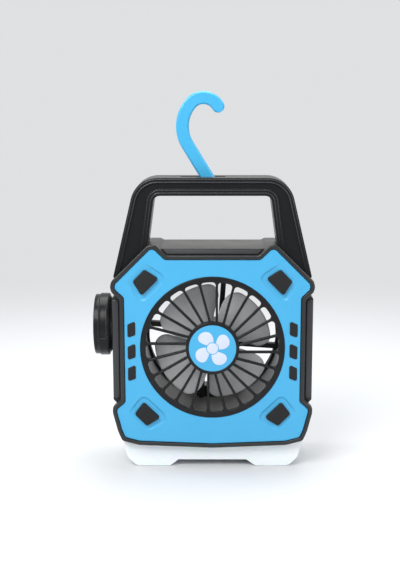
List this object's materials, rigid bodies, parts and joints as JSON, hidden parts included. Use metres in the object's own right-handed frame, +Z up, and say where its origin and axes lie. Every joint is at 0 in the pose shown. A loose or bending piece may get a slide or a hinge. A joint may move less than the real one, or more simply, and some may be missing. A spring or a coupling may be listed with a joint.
{
  "type": "portable camping fan",
  "caption": "Portable camping fan with a round skewed-spoke grille, carrying handle, swinging hang-up hook, side torch head and white lantern base.",
  "frame": {"origin": "on the floor plane under the middle of the base's feet, in the left-right middle of the body", "axes": "+X to the right as seen from the front, +Y away from the viewer towards the rear vent, +Z up"},
  "size_m": [0.2057, 0.0806, 0.3527],
  "materials": {
    "black_plastic": "satin moulded",
    "pad_plastic": "fine matt texture",
    "blue_plastic": "satin moulded",
    "white_inlay": "satin",
    "diffuser_white": "translucent satin",
    "fan_grey": "semi-gloss",
    "steel": "plated",
    "brass": "turned",
    "magnet": "sintered",
    "reflector_chrome": "polished",
    "clear_lens": "clear",
    "led": "phosphor",
    "circuit_board": "solder mask",
    "white_board": "solder mask",
    "battery_sleeve": "shrink sleeve",
    "rubber": "matt"
  },
  "bodies": {
    "housing": {"front_frame": "black_plastic", "front_panel": "blue_plastic", "corner_pads": "pad_plastic", "side_pads": "pad_plastic", "grille": "black_plastic", "hub_badge": "blue_plastic", "badge_symbol": "white_inlay", "mid_housing": "black_plastic", "rear_cover": "black_plastic", "frame_screws": "steel", "housing_screws": "steel", "motor_can": "steel", "motor_magnets": "magnet", "motor_end_cap": "black_plastic", "motor_bushes": "brass", "motor_mount": "black_plastic", "motor_screws": "steel", "handle_front": "black_plastic", "handle_rear": "black_plastic", "handle_screws": "steel", "leg_screws": "steel", "hook_pin": "steel", "torch_housing": "black_plastic", "torch_board": "circuit_board", "torch_led": "led", "torch_reflector": "reflector_chrome", "torch_lens": "clear_lens", "torch_bezel": "black_plastic", "lantern_diffuser": "diffuser_white", "lantern_board": "white_board", "lantern_leds": "led", "base_screws": "steel", "battery_holder": "black_plastic", "battery_cells": "battery_sleeve", "battery_contacts": "steel", "battery_door": "black_plastic", "door_screws": "steel", "control_board": "circuit_board", "charge_socket": "steel"},
    "impeller": {"impeller": "fan_grey", "motor_shaft": "steel", "shaft_collar": "brass", "motor_rotor": "steel"},
    "hook": {"hook": "blue_plastic"},
    "fan_button": {"fan_button": "black_plastic"},
    "light_button": {"light_button": "black_plastic"},
    "port_cover": {"port_cover": "rubber"}
  },
  "joints": [
    {"name": "fan_spin", "type": "hinge", "parent": "housing", "child": "impeller", "pos_m": [0, -0.012, 0.1176], "axis": [0, 1, 0], "continuous": true},
    {"name": "hook_swing", "type": "hinge", "parent": "housing", "child": "hook", "pos_m": [0, -0.013, 0.26685], "axis": [0, 1, 0], "range_deg": [-32, 63]},
    {"name": "fan_button_press", "type": "slide", "parent": "housing", "child": "fan_button", "axis": [0, -1, 0], "range_m": [0, 0.0015], "stiffness_N_per_m": 400},
    {"name": "light_button_press", "type": "slide", "parent": "housing", "child": "light_button", "axis": [0, -1, 0], "range_m": [0, 0.0015], "stiffness_N_per_m": 400},
    {"name": "port_cover_swing", "type": "hinge", "parent": "housing", "child": "port_cover", "pos_m": [0, 0.03935, 0.0526], "axis": [-1, 0, 0], "range_deg": [0, 95]}
  ]
}
